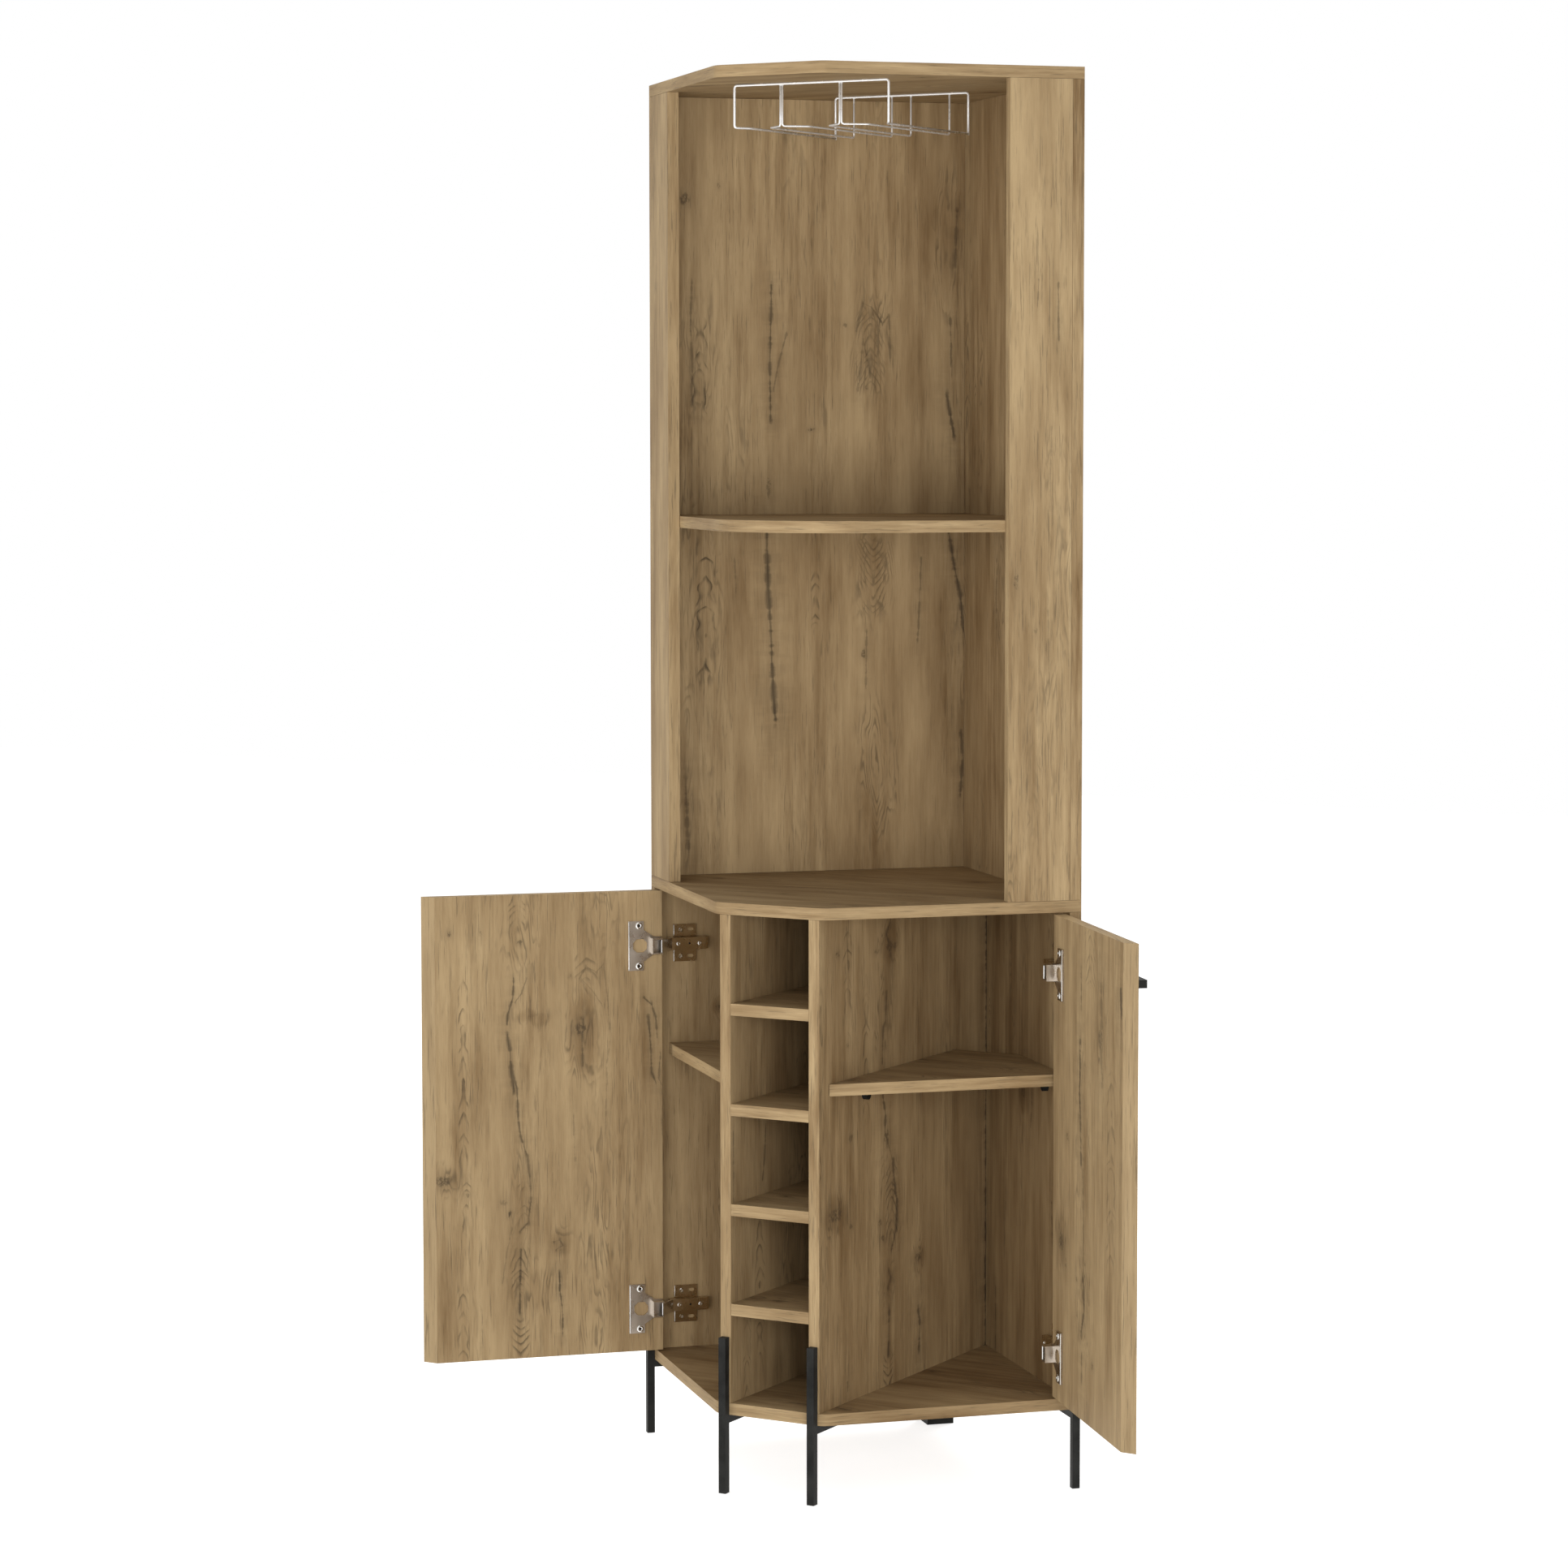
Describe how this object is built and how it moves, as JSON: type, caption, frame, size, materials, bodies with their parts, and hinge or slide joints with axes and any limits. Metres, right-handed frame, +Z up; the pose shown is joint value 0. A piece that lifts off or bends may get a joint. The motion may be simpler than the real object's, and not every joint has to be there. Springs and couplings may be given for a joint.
{
  "type": "corner bar cabinet",
  "caption": "Tall corner cabinet with an open display bay and hanging glass rack above, a bar top, and a lower cupboard with lying-bottle cells between doors, on slim black legs.",
  "frame": {"origin": "on the floor under the rear foot, on the cabinet's plane of symmetry, 85 mm in front of the back corner", "axes": "+Z up; -Y towards the front; +X to the right seen from the front; the doors are stored open as in the picture"},
  "size_m": [1.0399, 0.5693, 1.8],
  "materials": {
    "oak_board": "light brown oak-grain laminate on board, satin",
    "black_steel": "matt black powder coat",
    "black_plastic": "matt black moulded plastic",
    "rack_wire": "bright plated wire",
    "hinge_steel": "nickel-plated pressed steel"
  },
  "bodies": {
    "carcass": {"bottle_shelf_1": "oak_board", "bottle_shelf_2": "oak_board", "bottle_shelf_3": "oak_board", "bottle_shelf_4": "oak_board", "bottom_panel": "oak_board", "divider_left": "oak_board", "divider_right": "oak_board", "hinge_arm_left_lower": "hinge_steel", "hinge_arm_left_upper": "hinge_steel", "hinge_arm_right_lower": "hinge_steel", "hinge_arm_right_upper": "hinge_steel", "hinge_base_left_lower": "hinge_steel", "hinge_base_left_upper": "hinge_steel", "hinge_base_right_lower": "hinge_steel", "hinge_base_right_upper": "hinge_steel", "leg_column_left": "black_steel", "leg_column_right": "black_steel", "leg_wall_left": "black_steel", "leg_wall_right": "black_steel", "lower_wall_left": "oak_board", "lower_wall_right": "oak_board", "middle_panel": "oak_board", "rack_front_hoop": "rack_wire", "rack_rail_inner_left": "rack_wire", "rack_rail_inner_right": "rack_wire", "rack_rail_outer_left": "rack_wire", "rack_rail_outer_right": "rack_wire", "rack_rear_hoop": "rack_wire", "rear_foot": "black_plastic", "shelf_pin_left_1": "black_plastic", "shelf_pin_left_2": "black_plastic", "shelf_pin_left_3": "black_plastic", "shelf_pin_left_4": "black_plastic", "shelf_pin_right_1": "black_plastic", "shelf_pin_right_2": "black_plastic", "shelf_pin_right_3": "black_plastic", "shelf_pin_right_4": "black_plastic", "side_shelf_left": "oak_board", "side_shelf_right": "oak_board", "top_panel": "oak_board", "upper_shelf": "oak_board", "upper_stile_left": "oak_board", "upper_stile_right": "oak_board", "upper_wall_left": "oak_board", "upper_wall_right": "oak_board"},
    "left_door": {"door_left": "oak_board", "handle_left": "black_steel", "hinge_flange_left_lower": "hinge_steel", "hinge_flange_left_upper": "hinge_steel"},
    "right_door": {"door_right": "oak_board", "handle_right": "black_steel", "hinge_flange_right_lower": "hinge_steel", "hinge_flange_right_upper": "hinge_steel"},
    "link_left_lower_body": {"hinge_link_left_lower": "hinge_steel"},
    "link_left_upper_body": {"hinge_link_left_upper": "hinge_steel"},
    "link_right_lower_body": {"hinge_link_right_lower": "hinge_steel"},
    "link_right_upper_body": {"hinge_link_right_upper": "hinge_steel"}
  },
  "joints": [
    {"name": "left_door_hinge", "type": "hinge", "parent": "carcass", "child": "left_door", "pos_m": [-0.30151, -0.24628, 0.425], "axis": [0, 0, -1], "range_deg": [-90, 10]},
    {"name": "right_door_hinge", "type": "hinge", "parent": "carcass", "child": "right_door", "pos_m": [0.30151, -0.24628, 0.425], "axis": [0, 0, 1], "range_deg": [-86.3, 13.7]},
    {"name": "left_upper_link_pivot", "type": "hinge", "parent": "carcass", "child": "link_left_upper_body", "pos_m": [-0.2832, -0.23871, 0.663], "axis": [0, 0, -1], "range_deg": [-134, 14.9]},
    {"name": "left_lower_link_pivot", "type": "hinge", "parent": "carcass", "child": "link_left_lower_body", "pos_m": [-0.2832, -0.23871, 0.175], "axis": [0, 0, -1], "range_deg": [-134, 14.9]},
    {"name": "right_upper_link_pivot", "type": "hinge", "parent": "carcass", "child": "link_right_upper_body", "pos_m": [0.2832, -0.23871, 0.663], "axis": [0, 0, 1], "range_deg": [-128.5, 20.4]},
    {"name": "right_lower_link_pivot", "type": "hinge", "parent": "carcass", "child": "link_right_lower_body", "pos_m": [0.2832, -0.23871, 0.175], "axis": [0, 0, 1], "range_deg": [-128.5, 20.4]}
  ],
  "couplings": [
    {"joint": "left_upper_link_pivot", "follows": "left_door_hinge", "ratio": 1.4888},
    {"joint": "left_lower_link_pivot", "follows": "left_door_hinge", "ratio": 1.4888},
    {"joint": "right_upper_link_pivot", "follows": "right_door_hinge", "ratio": 1.4888},
    {"joint": "right_lower_link_pivot", "follows": "right_door_hinge", "ratio": 1.4888}
  ]
}
